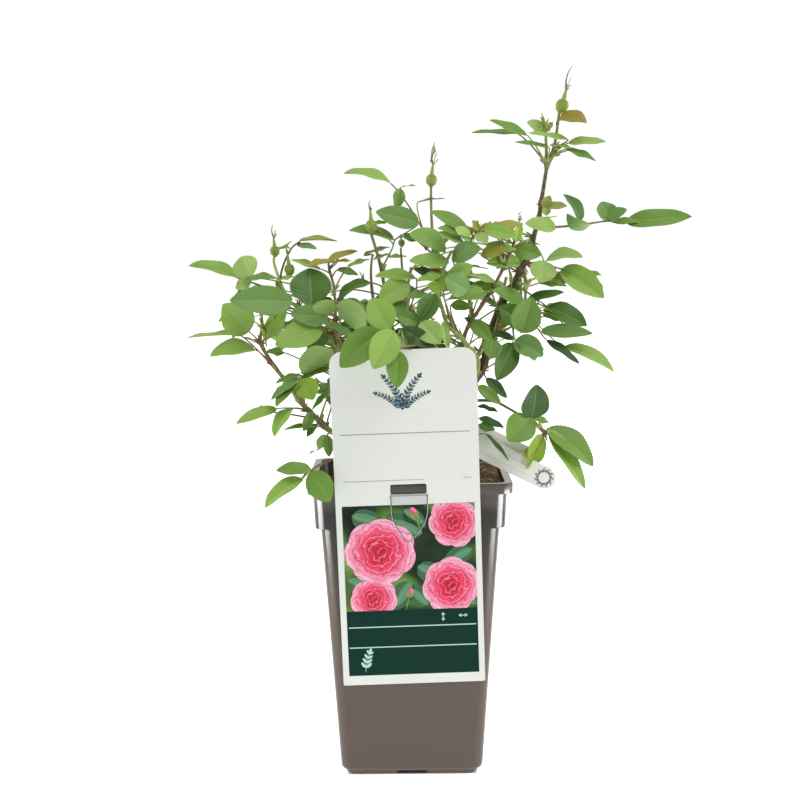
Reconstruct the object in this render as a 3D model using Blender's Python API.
"""A young container-grown rose bush in its square tapered nursery pot, with a card label and a stem tag.

Metres, +Z up. The origin is the centre of the pot's flat underside, and -Y is the front, where the card
hangs. The canes rise from a short graft stub in the compost. Each mass of leaves is one closed, uneven solid,
and a limb ends where it enters a mass.
"""

import math

import bpy
import numpy as np
from mathutils import Matrix, Vector, noise
from mathutils.bvhtree import BVHTree

CLEARANCE = 0.0003  # left between pieces that touch
COMPOST_CLEARANCE = 1.5 * CLEARANCE

# Pot: half-widths of its square sections, and the heights where the section changes.
POT_HEIGHT = 0.2595
POT_CORNER = 0.010
WALL = 0.0018
FOOT_HALF = 0.0585
FOOT_HEIGHT = 0.0045
BASE_HALF = 0.0617
BODY_TOP_HALF = 0.0762
BAND_BOTTOM = 0.2200
BAND_HALF_LOW = 0.0808
BAND_HALF_HIGH = 0.0824
LIP_BOTTOM = 0.2505
LIP_HALF = 0.0870
FLOOR_TOP = 0.0065
DRAIN_NOTCH = (0.026, 0.012, 0.0036)  # width along the edge, depth inwards, height
NOTCH_OVERSHOOT = 0.004  # how far the notch's cutter reaches past the wall
STEP_INSIDE = 0.0010  # the inside ledge lies this far below the band's lower edge
SKIN_SHIFT = 0.0003  # the height of a sharp step in the wall
EDGE_ROUND = 0.0006  # at the rim's edges
FOOT_ROUND = (0.0035, 0.0010)  # inset at the ground, and inset and height where it ends
CORNER_STEPS = 5

# Compost: flat near the rim, heaped round the stems.
COMPOST_EDGE = 0.2470
COMPOST_HEAP = 0.0130
COMPOST_HEAP_AT = (0.012, 0.012)
COMPOST_HEAP_SPREAD = 0.0022  # square metres
COMPOST_LUMP = 0.0022
COMPOST_LUMPS_PER_METRE = 60
COMPOST_SECTION = 3.7  # where the lumps are taken from the noise
COMPOST_RINGS = (1.0, 0.86, 0.70, 0.52, 0.34, 0.16)

# Card label: hooked on the front of the lip, leaning back against the wall of the pot.
CARD_SIZE = (0.122, 0.293)
CARD_THICK = 0.0006
CARD_TOP_CORNER = 0.011
CARD_BOTTOM_CORNER = 0.0015
CARD_LEAN = math.radians(6.9)
CARD_TILT = math.radians(1.6)
CARD_HOOK = Vector((0.0, -0.0880, 0.2500))  # where the card passes the lip
CARD_CENTRE = (-0.0021, -0.0208)  # of the card, from the hook
CARD_TOP = 0.378  # the height its top edge reaches
CARD_SLOT = (0.0305, 0.0088)  # the slot that shows the lip
CARD_SLOT_AT = (-0.0012, 0.0060)
SLOT_CORNER = 0.0010
TONGUE_LENGTH = 0.041
TONGUE_NARROWING = 0.22
TONGUE_POINT = 2.6  # the power by which its sides close in towards the point
TONGUE_CUT = 0.0006
TONGUE_CUT_END = 0.985  # of its length, so that the point stays in one piece with the card
TONGUE_BRIDGE = 0.0045  # uncut at each shoulder of the tongue

# Stem tag: a folded plastic strip that hangs from a cane out over the rim.
TAG_WIDTH = 0.0195
TAG_THICK = 0.0006
TAG_FACING = Vector((0.0, -1.0, 0.25))
TAG_STRIPS = (
    ("stem_tag_front", (0.030, -0.040, 0.3010), (0.1230, -0.0740, 0.2578)),
    ("stem_tag_back", (0.040, -0.034, 0.3040), (0.1065, -0.0590, 0.2743)),
)

# The graft stub, hidden behind the card, which every main cane leaves.
STUB_FOOT = Vector((0.004, 0.008, 0.2480))
STUB_TOP = Vector((0.014, 0.007, 0.2940))

LIMB_SIDES = 8
LIMB_STEP = 0.011
PATH_STEP = 0.002
CURVE_SAMPLES = 24  # between two knots
STUB_LEAVING = (0.019, 0.007)  # how far a cane has gone, outwards and upwards, where it leaves the stub
STUB_INSET = 0.004  # how far below that it starts, on the stub's axis
MASS_SEGMENTS = 12
MASS_BANDS = 7
MASS_FULLNESS = 1.10  # how far a mass swells past its half-sizes before its neighbours hold it
MASS_LOBES = (1.7, 0.30)  # how close they stand, and how deep they are
MASS_RIPPLE = (4.1, 0.10)
LOBES_STEP = Vector((7.3, 3.1, 0.0))  # how far apart two masses' lobes are in the noise, and their ripples
RIPPLE_STEP = Vector((0.0, 5.7, 2.9))
MASS_REACH = 1.25  # of its half-size, as far as a mass is parted from its neighbours
MASS_NEAR = 1.5  # of its longest half-size: beyond it, nothing touches the mass
LIMB_ROOM = 0.006  # a limb closer than this to a mass's centre runs through it
LIMB_NEAR = 1.4  # of its longest half-size: a limb beyond it doesn't press on the mass
BESIDE_CARD = 0.006  # a mass this far clear of the card's sides is held by no wall there

COLOURS = {
    "pot": (0.155, 0.125, 0.108, 0.45, 0.0),
    "compost": (0.060, 0.036, 0.022, 0.95, 0.0),
    "card": (0.760, 0.770, 0.750, 0.40, 0.0),
    "tag": (0.780, 0.790, 0.760, 0.40, 0.0),
    "old_bark": (0.130, 0.090, 0.055, 0.80, 0.0),
    "green_cane": (0.200, 0.260, 0.095, 0.55, 0.0),
    "red_cane": (0.240, 0.090, 0.060, 0.55, 0.0),
    "leaf": (0.140, 0.260, 0.070, 0.55, 0.0),
    "young_leaf": (0.260, 0.380, 0.130, 0.55, 0.0),
    "bud": (0.230, 0.300, 0.090, 0.50, 0.0),
}


def clear_scene():
    for obj in list(bpy.data.objects):
        bpy.data.objects.remove(obj, do_unlink=True)


def make_materials():
    made = {}
    for name, (red, green, blue, roughness, metallic) in COLOURS.items():
        material = bpy.data.materials.new(name)
        material.use_nodes = True
        shader = material.node_tree.nodes["Principled BSDF"]
        shader.inputs["Base Color"].default_value = (red, green, blue, 1.0)
        shader.inputs["Roughness"].default_value = roughness
        shader.inputs["Metallic"].default_value = metallic
        made[name] = material
    return made


def add_mesh(name, points, faces, material, smooth=True, sharp_over=40):
    mesh = bpy.data.meshes.new(name)
    mesh.from_pydata([tuple(p) for p in points], [], faces)
    mesh.update()
    if smooth:
        mesh.shade_smooth()
        mesh.set_sharp_from_angle(angle=math.radians(sharp_over))
    obj = bpy.data.objects.new(name, mesh)
    obj.data.materials.append(material)
    bpy.context.scene.collection.objects.link(obj)
    return obj


def as_cutter(obj):
    obj.hide_render = True
    obj.display_type = "WIRE"
    return obj


def cut(obj, cutter):
    modifier = obj.modifiers.new("cut_by_" + cutter.name[:40], "BOOLEAN")
    modifier.operation = "DIFFERENCE"
    modifier.solver = "EXACT"
    modifier.object = cutter


def bridge_rings(rings, first_cap=True, last_cap=True):
    """Points and faces of a skin over rings of equally many points, listed from the first cap to the last."""
    count = len(rings[0])
    points = [p for ring in rings for p in ring]
    faces = []
    for level in range(len(rings) - 1):
        low = level * count
        for i in range(count):
            j = (i + 1) % count
            faces.append((low + i, low + j, low + count + j, low + count + i))
    if first_cap:
        faces.append(tuple(reversed(range(count))))
    if last_cap:
        top = (len(rings) - 1) * count
        faces.append(tuple(range(top, top + count)))
    return points, faces


# ---------------------------------------------------------------- pot and compost


def square_ring(half, z, corner=POT_CORNER):
    """A square section with round corners, anticlockwise from above."""
    ring = []
    inner = half - corner
    for quarter, (sx, sy) in enumerate(((1, 1), (-1, 1), (-1, -1), (1, -1))):
        for step in range(CORNER_STEPS + 1):
            angle = math.pi / 2 * (quarter + step / CORNER_STEPS)
            ring.append((sx * inner + corner * math.cos(angle), sy * inner + corner * math.sin(angle), z))
    return ring


def body_half(z):
    """The half-width of the pot's outside at a height below its band."""
    along = (z - FOOT_HEIGHT) / (BAND_BOTTOM - FOOT_HEIGHT)
    return BASE_HALF + (BODY_TOP_HALF - BASE_HALF) * along


def make_pot(material):
    inside_step = BAND_BOTTOM - STEP_INSIDE
    ground_inset, foot_round = FOOT_ROUND
    sections = (
        (FOOT_HALF - ground_inset, 0.0),
        (FOOT_HALF - foot_round, foot_round),
        (FOOT_HALF, FOOT_HEIGHT - SKIN_SHIFT),
        (BASE_HALF, FOOT_HEIGHT),
        (BODY_TOP_HALF, BAND_BOTTOM),
        (BAND_HALF_LOW, BAND_BOTTOM + SKIN_SHIFT),
        (BAND_HALF_HIGH, LIP_BOTTOM - SKIN_SHIFT),
        (LIP_HALF, LIP_BOTTOM),
        (LIP_HALF, POT_HEIGHT - EDGE_ROUND),
        (LIP_HALF - EDGE_ROUND, POT_HEIGHT),
        (BAND_HALF_HIGH - WALL + EDGE_ROUND, POT_HEIGHT),
        (BAND_HALF_HIGH - WALL, POT_HEIGHT - EDGE_ROUND),
        (BAND_HALF_LOW - WALL, inside_step + 2 * WALL),
        (BODY_TOP_HALF - WALL, inside_step),
        (body_half(FLOOR_TOP) - WALL, FLOOR_TOP),
    )
    points, faces = bridge_rings([square_ring(half, z) for half, z in sections])
    pot = add_mesh("pot", points, faces, material)
    width, depth, height = DRAIN_NOTCH
    for index, side in enumerate(((0, -1), (1, 0), (0, 1), (-1, 0))):
        along = Vector((abs(side[1]) * width / 2, abs(side[0]) * width / 2, 0))
        outward = Vector((side[0], side[1], 0))
        inner = outward * (FOOT_HALF - depth)
        outer = outward * (BASE_HALF + NOTCH_OVERSHOOT)
        corners = [inner - along, inner + along, outer + along, outer - along]
        if (corners[1] - corners[0]).cross(corners[2] - corners[1]).z < 0:
            corners.reverse()
        rings = [[c + Vector((0, 0, z)) for c in corners] for z in (-NOTCH_OVERSHOOT, height)]
        points, faces = bridge_rings(rings)
        cut(pot, as_cutter(add_mesh(f"drain_notch_{index}", points, faces, material, smooth=False)))
    return pot


def compost_height(x, y):
    """Flat near the wall, heaped towards the stems and the back, with small lumps."""
    middle_x, middle_y = COMPOST_HEAP_AT
    away = (x - middle_x) ** 2 + (y - middle_y) ** 2
    heap = COMPOST_HEAP * math.exp(-away / COMPOST_HEAP_SPREAD)
    place = Vector((x * COMPOST_LUMPS_PER_METRE, y * COMPOST_LUMPS_PER_METRE, COMPOST_SECTION))
    return COMPOST_EDGE + heap + COMPOST_LUMP * noise.noise(place)


def make_compost(material):
    floor = FLOOR_TOP + CLEARANCE
    half_low = body_half(floor) - WALL - CLEARANCE
    half_step = BODY_TOP_HALF - WALL - COMPOST_CLEARANCE
    half_high = BAND_HALF_LOW - WALL - COMPOST_CLEARANCE
    below_step = BAND_BOTTOM - STEP_INSIDE / 2
    above_step = BAND_BOTTOM + 2 * WALL
    rings = [
        square_ring(half_low, floor, POT_CORNER),
        square_ring(half_step, below_step, POT_CORNER),
        square_ring(half_high, above_step, POT_CORNER),
    ]
    for scale in COMPOST_RINGS:
        ring = square_ring(half_high * scale, 0.0, POT_CORNER * scale)
        rings.append([(x, y, compost_height(x, y)) for x, y, _ in ring])
    points, faces = bridge_rings(rings)
    return add_mesh("compost", points, faces, material)


# ---------------------------------------------------------------- card label and stem tag


def plate(name, outline, thickness, material, smooth=False):
    """A flat plate in its own X-Y plane, from an anticlockwise outline."""
    rings = [[(x, y, z) for x, y in outline] for z in (-thickness / 2, thickness / 2)]
    points, faces = bridge_rings(rings)
    return add_mesh(name, points, faces, material, smooth)


def rounded_rectangle(width, height, top_corner, bottom_corner, steps=4):
    """An anticlockwise outline, with one radius for its upper corners and one for its lower."""
    outline = []
    for quarter, (sx, sy) in enumerate(((1, 1), (-1, 1), (-1, -1), (1, -1))):
        corner = top_corner if sy > 0 else bottom_corner
        for step in range(steps + 1):
            angle = math.pi / 2 * (quarter + step / steps)
            x = sx * (width / 2 - corner) + corner * math.cos(angle)
            y = sy * (height / 2 - corner) + corner * math.sin(angle)
            outline.append((x, y))
    return outline


def tongue_half_width(down):
    """Half the tongue's width, from its shoulders (0) to its point (1)."""
    narrowing = 1 - TONGUE_NARROWING * down
    return CARD_SLOT[0] / 2 * narrowing * math.sqrt(max(0.0, 1 - down**TONGUE_POINT))


def card_frame():
    """The card's own axes: X to the right along it, Y up along it, Z out to the front."""
    lean = Matrix.Rotation(math.pi / 2 + CARD_LEAN, 4, "X")
    tilt = Matrix.Rotation(CARD_TILT, 4, "Z")
    return Matrix.Translation(CARD_HOOK) @ lean @ tilt


def make_card(material):
    centre_x, centre_y = CARD_CENTRE
    corners = (CARD_TOP_CORNER, CARD_BOTTOM_CORNER)
    outline = [(x + centre_x, y + centre_y) for x, y in rounded_rectangle(*CARD_SIZE, *corners)]
    card = plate("card_label", outline, CARD_THICK, material)
    card.matrix_world = card_frame()

    slot_x, slot_y = CARD_SLOT_AT
    corners = (SLOT_CORNER, SLOT_CORNER)
    slot = [(x + slot_x, y + slot_y) for x, y in rounded_rectangle(*CARD_SLOT, *corners, steps=1)]
    depth = CARD_THICK * 6
    cutters = [plate("card_slot", slot, depth, material)]
    steps = 7
    top = slot_y - CARD_SLOT[1] / 2
    for side in (-1, 1):
        inner, outer = [], []
        for step in range(steps + 1):
            first = TONGUE_BRIDGE / TONGUE_LENGTH
            down = first + (TONGUE_CUT_END - first) * step / steps
            y = top - TONGUE_LENGTH * down
            half = tongue_half_width(down)
            inner.append((slot_x + side * (half - TONGUE_CUT / 2), y))
            outer.append((slot_x + side * (half + TONGUE_CUT / 2), y))
        band = inner + outer[::-1] if side < 0 else outer + inner[::-1]
        cutters.append(plate(f"tongue_cut_{(side + 1) // 2}", band[::-1], depth, material))
    for cutter in cutters:
        cutter.matrix_world = card_frame()
        cut(card, as_cutter(cutter))


def make_tag_strip(name, start, end, material):
    """A strip with a round free end, facing the front."""
    start, end = Vector(start), Vector(end)
    length = (end - start).length
    radius = TAG_WIDTH / 2
    outline = [(0.0, -radius), (length - radius, -radius)]
    steps = 6
    for step in range(1, steps):
        angle = -math.pi / 2 + math.pi * step / steps
        outline.append((length - radius + radius * math.cos(angle), radius * math.sin(angle)))
    outline += [(length - radius, radius), (0.0, radius)]
    strip = plate(name, outline, TAG_THICK, material)
    along = (end - start).normalized()
    across = TAG_FACING.cross(along).normalized()
    out = along.cross(across)
    strip.matrix_world = Matrix.Translation(start) @ Matrix((along, across, out)).transposed().to_4x4()


# ---------------------------------------------------------------- limbs


def smooth_path(knots):
    """Even samples along a Catmull-Rom curve through the knots."""
    knots = [Vector(k) for k in knots]
    ends = [knots[0] * 2 - knots[1]] + knots + [knots[-1] * 2 - knots[-2]]
    dense = []
    for a, b, c, d in zip(ends, ends[1:], ends[2:], ends[3:]):
        for i in range(CURVE_SAMPLES):
            t = i / CURVE_SAMPLES
            dense.append(
                0.5
                * (
                    2 * b
                    + (c - a) * t
                    + (2 * a - 5 * b + 4 * c - d) * t * t
                    + (3 * b - a - 3 * c + d) * t**3
                )
            )
    dense.append(knots[-1])
    travelled = [0.0]
    for p, q in zip(dense, dense[1:]):
        travelled.append(travelled[-1] + (q - p).length)
    count = max(4, round(travelled[-1] / PATH_STEP))
    samples = []
    for i in range(count + 1):
        want = travelled[-1] * i / count
        k = min(np.searchsorted(travelled, want, side="right") - 1, len(dense) - 2)
        span = travelled[k + 1] - travelled[k]
        samples.append(dense[k].lerp(dense[k + 1], (want - travelled[k]) / span if span else 0.0))
    return samples


def tube(name, path, radii, material, sides=LIMB_SIDES):
    """A closed tapering tube along a path, its rings carried along without twist."""
    rings = []
    normal = (path[1] - path[0]).normalized().orthogonal()
    for i, (point, radius) in enumerate(zip(path, radii)):
        ahead = path[min(i + 1, len(path) - 1)] - path[max(i - 1, 0)]
        along = ahead.normalized()
        normal = (normal - along * normal.dot(along)).normalized()
        across = along.cross(normal)
        turns = [2 * math.pi * k / sides for k in range(sides)]
        rings.append([point + (normal * math.cos(a) + across * math.sin(a)) * radius for a in turns])
    points, faces = bridge_rings(rings)
    return add_mesh(name, points, faces, material)


class Limb:
    """A cane, shoot or leaf stalk: the knots of its route, its radius at each end, and its material."""

    def __init__(self, name, material, radii, knots, parent=None):
        self.name = name
        self.material = material
        self.parent = parent
        self.path = smooth_path(knots)
        first, last = radii
        self.radii = [first + (last - first) * i / (len(self.path) - 1) for i in range(len(self.path))]

    def free_stretch(self, masses):
        """The longest run of the route that is outside every mass of leaves."""
        best, run = [], []
        for i, (point, radius) in enumerate(zip(self.path, self.radii)):
            if all(mass.clear_of(point, radius + CLEARANCE) for mass in masses):
                run.append(i)
            else:
                run = []
            if len(run) > len(best):
                best = list(run)
        return best

    def build(self, masses, materials):
        kept = self.free_stretch(masses)
        if self.parent is not None:
            kept = list(range(0, kept[-1] + 1))
        stride = max(1, round(LIMB_STEP / PATH_STEP))
        chosen = kept[::stride]
        if kept[-1] - chosen[-1] > stride / 2:
            chosen.append(kept[-1])
        else:
            chosen[-1] = kept[-1]
        path = [self.path[i] for i in chosen]
        radii = [self.radii[i] for i in chosen]
        limb = tube(self.name, path, radii, materials[self.material])
        if self.parent is not None:
            cut(limb, self.parent.cutter)
        grown = [radius + CLEARANCE for radius in radii]
        self.cutter = as_cutter(tube(self.name + "_cutter", path, grown, materials[self.material]))
        return limb


# ---------------------------------------------------------------- masses of leaves


class Mass:
    """One closed uneven mass of leaves, star-shaped round its centre."""

    def __init__(self, name, material, centre, reach, seed):
        self.name = name
        self.material = material
        self.centre = Vector(centre)
        self.reach = Vector(reach)
        self.seed = seed
        self.walls = []  # (unit normal, distance): no point of the mass lies beyond one

    def support(self, direction):
        """How far the plain ellipsoid reaches along a direction."""
        return math.sqrt(sum((self.reach[i] * direction[i]) ** 2 for i in range(3)))

    def keep_within(self, normal, distance):
        self.walls.append((normal.normalized(), distance))

    def part_from(self, other):
        """Shares the space between two masses at a plane across the line of their centres."""
        line = other.centre - self.centre
        gap = line.length
        normal = line / gap
        mine = self.support(normal) * MASS_REACH
        theirs = other.support(normal) * MASS_REACH
        if mine + theirs < gap:
            return
        at = gap * mine / (mine + theirs)
        self.keep_within(normal, at - CLEARANCE)
        other.keep_within(-normal, gap - at - CLEARANCE)

    def avoid(self, limb):
        """Draws back from a limb that passes by, where the limb isn't well inside."""
        for point, radius in zip(limb.path, limb.radii):
            offset = point - self.centre
            room = offset.length - radius - 2 * CLEARANCE
            if LIMB_ROOM < room < max(self.reach) * LIMB_NEAR:
                self.keep_within(offset, room)

    def build(self, materials):
        points = []
        for band in range(1, MASS_BANDS):
            polar = math.pi * band / MASS_BANDS
            for i in range(MASS_SEGMENTS):
                turn = 2 * math.pi * (i + 0.5 * (band % 2)) / MASS_SEGMENTS
                flat = Vector((math.cos(turn), math.sin(turn), 0.0))
                points.append(self.surface(flat * math.sin(polar) + Vector((0, 0, math.cos(polar)))))
        top = len(points)
        points.append(self.surface(Vector((0, 0, 1))))
        points.append(self.surface(Vector((0, 0, -1))))
        faces = []
        for band in range(MASS_BANDS - 2):
            low, high = band * MASS_SEGMENTS, (band + 1) * MASS_SEGMENTS
            for i in range(MASS_SEGMENTS):
                j = (i + 1) % MASS_SEGMENTS
                if band % 2:
                    faces.append((low + i, high + i, low + j))
                    faces.append((low + j, high + i, high + j))
                else:
                    faces.append((low + i, high + i, high + j))
                    faces.append((low + i, high + j, low + j))
        last = (MASS_BANDS - 2) * MASS_SEGMENTS
        for i in range(MASS_SEGMENTS):
            j = (i + 1) % MASS_SEGMENTS
            faces.append((top, i, j))
            faces.append((top + 1, last + j, last + i))
        self.tree = BVHTree.FromPolygons(points, faces)
        return add_mesh(self.name, points, faces, materials[self.material], sharp_over=80)

    def surface(self, direction):
        """The mass's surface point in a direction: an ellipsoid with lobes and hollows, held by its walls."""
        stretched = Vector([direction[i] * self.reach[i] for i in range(3)])
        lobes_apart, lobes_deep = MASS_LOBES
        ripple_apart, ripple_deep = MASS_RIPPLE
        lobes = noise.noise(direction * lobes_apart + self.seed * LOBES_STEP)
        ripple = noise.noise(direction * ripple_apart + self.seed * RIPPLE_STEP)
        offset = stretched * (MASS_FULLNESS + lobes_deep * lobes + ripple_deep * ripple)
        for normal, distance in self.walls:
            along = offset.dot(normal)
            if along > distance:
                offset = offset * (distance / along)
        return self.centre + offset

    def clear_of(self, point, margin):
        """Whether a ball at the point stays outside the mass."""
        offset = point - self.centre
        if offset.length > max(self.reach) * MASS_NEAR + margin:
            return True
        if offset.length < 1e-6:
            return False
        hit, _, _, distance = self.tree.ray_cast(self.centre, offset.normalized())
        if hit is None or offset.length < distance:
            return False
        nearest, _, _, away = self.tree.find_nearest(point)
        return nearest is None or away > margin


# ---------------------------------------------------------------- the plant


def from_stub(turn, height, *knots):
    """A route that leaves the stub's side at a compass turn (0 is +X, 90 is the back) and a height."""
    along = (height - STUB_FOOT.z) / (STUB_TOP.z - STUB_FOOT.z)
    axis = STUB_FOOT.lerp(STUB_TOP, along)
    outward = Vector((math.cos(math.radians(turn)), math.sin(math.radians(turn)), 0.0))
    away, up = STUB_LEAVING
    return (axis - Vector((0, 0, STUB_INSET)), axis + outward * away + Vector((0, 0, up)), *knots)


def plan_limbs():
    """The canes, shoots and long leaf stalks, each from the stub or from the limb that carries it."""
    stub = Limb("graft_stub", "old_bark", (0.0125, 0.0095), (STUB_FOOT, (STUB_FOOT + STUB_TOP) / 2, STUB_TOP))
    right_knots = (
        (0.040, 0.003, 0.315),
        (0.064, 0.001, 0.348),
        (0.074, 0.000, 0.384),
        (0.086, 0.004, 0.412),
    )
    right = Limb("right_old_cane", "old_bark", (0.0058, 0.0042), from_stub(-5, 0.286, *right_knots), stub)
    tall_knots = (
        (0.086, 0.004, 0.412),
        (0.101, 0.010, 0.445),
        (0.115, 0.015, 0.475),
        (0.121, 0.019, 0.502),
        (0.125, 0.020, 0.550),
    )
    tall = Limb("right_tall_cane", "old_bark", (0.0034, 0.0022), tall_knots)
    left_knots = (
        (-0.038, -0.030, 0.287),
        (-0.066, -0.048, 0.300),
        (-0.095, -0.057, 0.336),
        (-0.114, -0.052, 0.358),
        (-0.128, -0.030, 0.400),
    )
    arching_knots = (
        (0.044, -0.020, 0.322),
        (0.060, -0.031, 0.355),
        (0.049, -0.034, 0.375),
        (0.034, -0.034, 0.391),
        (0.026, -0.032, 0.420),
        (0.036, -0.028, 0.448),
    )
    reddish_knots = (
        (0.047, 0.002, 0.325),
        (0.047, -0.010, 0.352),
        (0.055, -0.018, 0.393),
        (0.077, -0.020, 0.425),
        (0.090, -0.018, 0.454),
        (0.0965, -0.016, 0.4700),
    )
    centre_knots = ((-0.006, 0.006, 0.340), (-0.020, 0.000, 0.385), (-0.033, -0.020, 0.427))
    inner_knots = ((-0.030, 0.002, 0.315), (-0.058, -0.004, 0.370), (-0.074, -0.004, 0.430))
    back_left_knots = ((-0.020, 0.040, 0.318), (-0.055, 0.075, 0.360), (-0.082, 0.105, 0.400))
    back_middle_knots = ((0.008, 0.050, 0.335), (0.002, 0.085, 0.375), (0.000, 0.118, 0.412))
    back_right_knots = ((0.040, 0.040, 0.315), (0.065, 0.080, 0.355), (0.086, 0.112, 0.400))
    low_right_knots = (
        (0.048, -0.016, 0.309),
        (0.075, -0.032, 0.325),
        (0.094, -0.042, 0.321),
        (0.116, -0.050, 0.300),
    )
    low_left_knots = (
        (-0.030, -0.050, 0.277),
        (-0.062, -0.080, 0.281),
        (-0.084, -0.096, 0.275),
        (-0.093, -0.104, 0.262),
    )
    bud_knots = ((0.021, 0.000, 0.470), (0.022, 0.000, 0.495), (0.0215, 0.000, 0.530))
    long_stalk_knots = (
        (0.1155, 0.015, 0.4770),
        (0.133, 0.021, 0.4735),
        (0.160, 0.027, 0.4755),
        (0.200, 0.030, 0.4840),
    )
    # Each cane from the stub: name, material, radii, the turn and height at which it leaves, and knots.
    from_the_stub = (
        ("left_cane", "green_cane", (0.0032, 0.0020), -140, 0.272, left_knots),
        ("front_arching_cane", "green_cane", (0.0028, 0.0020), -48, 0.276, arching_knots),
        ("centre_cane", "green_cane", (0.0034, 0.0024), 180, 0.287, centre_knots),
        ("left_inner_cane", "green_cane", (0.0030, 0.0020), 190, 0.268, inner_knots),
        ("back_left_cane", "old_bark", (0.0034, 0.0024), 130, 0.276, back_left_knots),
        ("back_middle_cane", "green_cane", (0.0032, 0.0022), 92, 0.285, back_middle_knots),
        ("back_right_cane", "green_cane", (0.0032, 0.0022), 45, 0.274, back_right_knots),
        ("low_right_shoot", "green_cane", (0.0022, 0.0012), -22, 0.264, low_right_knots),
        ("low_left_stalk", "green_cane", (0.0018, 0.0011), -110, 0.264, low_left_knots),
    )
    canes = [
        Limb(name, material, radii, from_stub(turn, height, *knots), stub)
        for name, material, radii, turn, height, knots in from_the_stub
    ]
    return [
        stub,
        right,
        tall,
        Limb("reddish_cane", "red_cane", (0.0026, 0.0016), reddish_knots, right),
        *canes,
        Limb("centre_bud_stalk", "red_cane", (0.0013, 0.0011), bud_knots),
        Limb("right_long_stalk", "red_cane", (0.0013, 0.0009), long_stalk_knots, tall),
    ]


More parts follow.
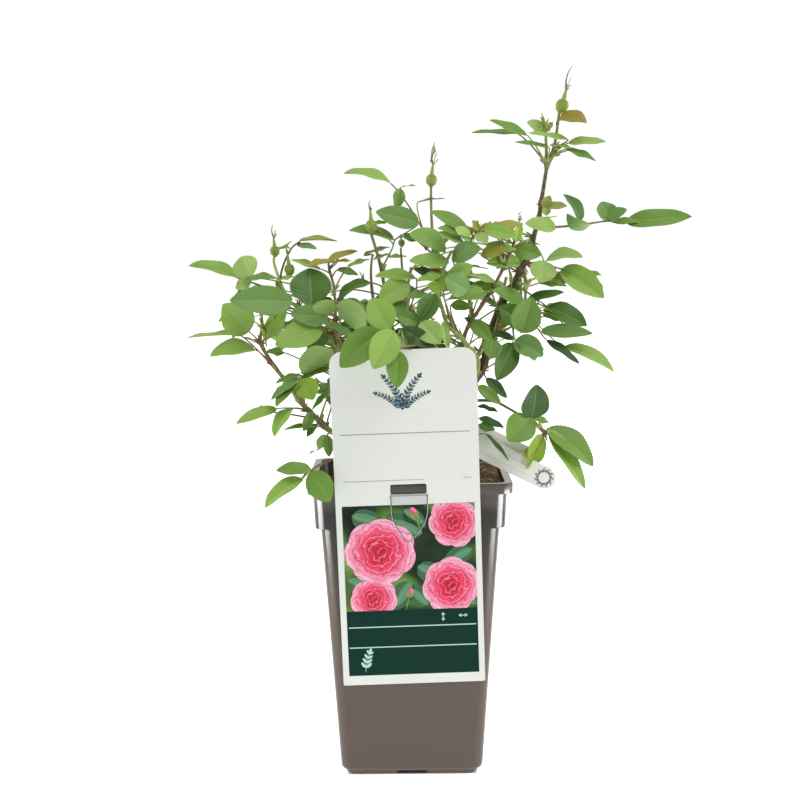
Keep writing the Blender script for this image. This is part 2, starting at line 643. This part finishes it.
def plan_masses():
    """Every mass: name, material, centre and half-sizes. The front shows first, then the back and sides."""
    rows = (
        # left side, from the tip inwards and down to the rim
        ("left_tip_leaves", "young_leaf", (-0.160, -0.030, 0.4430), (0.034, 0.026, 0.0125)),
        ("left_upper_leaves", "leaf", (-0.130, -0.014, 0.4080), (0.036, 0.045, 0.0250)),
        ("left_low_tip_leaves", "young_leaf", (-0.166, -0.012, 0.3735), (0.030, 0.024, 0.0135)),
        ("left_mid_leaves", "leaf", (-0.094, -0.050, 0.3920), (0.030, 0.040, 0.0260)),
        ("left_cane_leaves", "leaf", (-0.090, -0.072, 0.3300), (0.027, 0.026, 0.0250)),
        ("left_hanging_leaf", "leaf", (-0.122, -0.078, 0.3220), (0.024, 0.013, 0.0110)),
        ("left_rim_leaves", "leaf", (-0.093, -0.1060, 0.2620), (0.033, 0.0130, 0.0235)),
        ("left_bud_tip", "bud", (-0.115, -0.030, 0.4530), (0.007, 0.008, 0.0270)),
        # middle
        ("centre_left_leaves", "leaf", (-0.074, 0.006, 0.4360), (0.033, 0.045, 0.0330)),
        ("centre_leaves", "young_leaf", (-0.030, -0.022, 0.4280), (0.031, 0.045, 0.0380)),
        ("front_leaves", "young_leaf", (-0.027, -0.1220, 0.3730), (0.033, 0.0150, 0.0300)),
        ("centre_top_leaves", "young_leaf", (-0.024, 0.000, 0.4970), (0.037, 0.036, 0.0260)),
        ("centre_bud_tip", "bud", (0.0215, 0.000, 0.5310), (0.008, 0.008, 0.0210)),
        ("centre_right_leaves", "leaf", (0.036, -0.026, 0.4560), (0.032, 0.040, 0.0330)),
        ("card_top_leaves", "young_leaf", (0.010, -0.062, 0.4000), (0.021, 0.030, 0.0280)),
        # right side, down to the rim and out to the tips
        ("right_inner_leaves", "leaf", (0.074, 0.026, 0.4500), (0.030, 0.036, 0.0360)),
        ("right_mid_leaves", "leaf", (0.098, 0.002, 0.3860), (0.030, 0.040, 0.0300)),
        ("right_outer_leaves", "leaf", (0.143, 0.000, 0.4350), (0.034, 0.034, 0.0220)),
        ("right_low_outer_leaves", "leaf", (0.152, 0.010, 0.3800), (0.034, 0.036, 0.0300)),
        ("right_upper_leaves", "leaf", (0.146, 0.022, 0.4920), (0.025, 0.024, 0.0135)),
        ("right_tip_leaves", "leaf", (0.204, 0.030, 0.4840), (0.035, 0.016, 0.0140)),
        ("top_spray_leaves", "young_leaf", (0.118, 0.018, 0.5540), (0.058, 0.034, 0.0185)),
        ("top_bud_tip", "bud", (0.1400, 0.020, 0.5920), (0.009, 0.009, 0.0240)),
        ("right_low_leaves", "leaf", (0.115, -0.046, 0.3180), (0.030, 0.020, 0.0250)),
        ("right_low_tip_leaves", "leaf", (0.148, -0.040, 0.2790), (0.020, 0.014, 0.0290)),
        ("right_tag_leaves", "leaf", (0.104, -0.0900, 0.2860), (0.013, 0.007, 0.0180)),
        ("right_card_leaves", "leaf", (0.074, -0.052, 0.3440), (0.018, 0.018, 0.0400)),
        # back and sides
        ("back_left_leaves", "leaf", (-0.080, 0.098, 0.3980), (0.052, 0.042, 0.0420)),
        ("back_middle_leaves", "leaf", (0.004, 0.115, 0.4160), (0.044, 0.044, 0.0420)),
        ("back_right_leaves", "leaf", (0.086, 0.108, 0.4040), (0.046, 0.042, 0.0430)),
        ("back_low_left_leaves", "leaf", (-0.040, 0.090, 0.3140), (0.040, 0.030, 0.0280)),
        ("back_low_right_leaves", "leaf", (0.048, 0.092, 0.3180), (0.040, 0.030, 0.0280)),
        ("left_side_leaves", "leaf", (-0.142, 0.058, 0.3900), (0.032, 0.036, 0.0320)),
        ("right_side_leaves", "leaf", (0.150, 0.078, 0.4080), (0.034, 0.034, 0.0320)),
    )
    return [Mass(*row, seed=index + 1) for index, row in enumerate(rows)]


def settle(masses, limbs):
    """Parts the masses from each other, the limbs that pass them and the card."""
    for i, mass in enumerate(masses):
        for other in masses[i + 1 :]:
            mass.part_from(other)
    by_name = {mass.name: mass for mass in masses}
    passing = {
        "left_cane": ("left_mid_leaves", "left_cane_leaves", "left_hanging_leaf"),
        "front_arching_cane": ("card_top_leaves", "centre_leaves", "right_card_leaves"),
        "reddish_cane": ("right_inner_leaves", "right_mid_leaves", "centre_right_leaves"),
        "right_tall_cane": ("right_inner_leaves", "right_outer_leaves", "right_upper_leaves"),
        "right_old_cane": ("right_card_leaves",),
        "low_right_shoot": ("right_card_leaves",),
        "right_long_stalk": ("right_upper_leaves",),
    }
    for limb in limbs:
        for name in passing.get(limb.name, ()):
            by_name[name].avoid(limb)
    out = card_frame().to_3x3() @ Vector((0, 0, 1))
    for mass in masses:
        nearest = abs(mass.centre.x) - mass.reach.x * MASS_REACH
        beside_card = nearest > CARD_SIZE[0] / 2 + BESIDE_CARD
        if beside_card or mass.centre.z - mass.reach.z > CARD_TOP:
            continue
        ahead = (mass.centre - CARD_HOOK).dot(out)
        normal = out if ahead < 0 else -out
        mass.keep_within(normal, abs(ahead) - CARD_THICK / 2 - CLEARANCE)


def main():
    clear_scene()
    materials = make_materials()
    make_pot(materials["pot"])
    compost = make_compost(materials["compost"])
    make_card(materials["card"])
    for name, start, end in TAG_STRIPS:
        make_tag_strip(name, start, end, materials["tag"])

    limbs = plan_limbs()
    masses = plan_masses()
    settle(masses, limbs)
    for mass in masses:
        mass.build(materials)
    for limb in limbs:
        limb.build(masses, materials)
    cut(compost, limbs[0].cutter)


main()
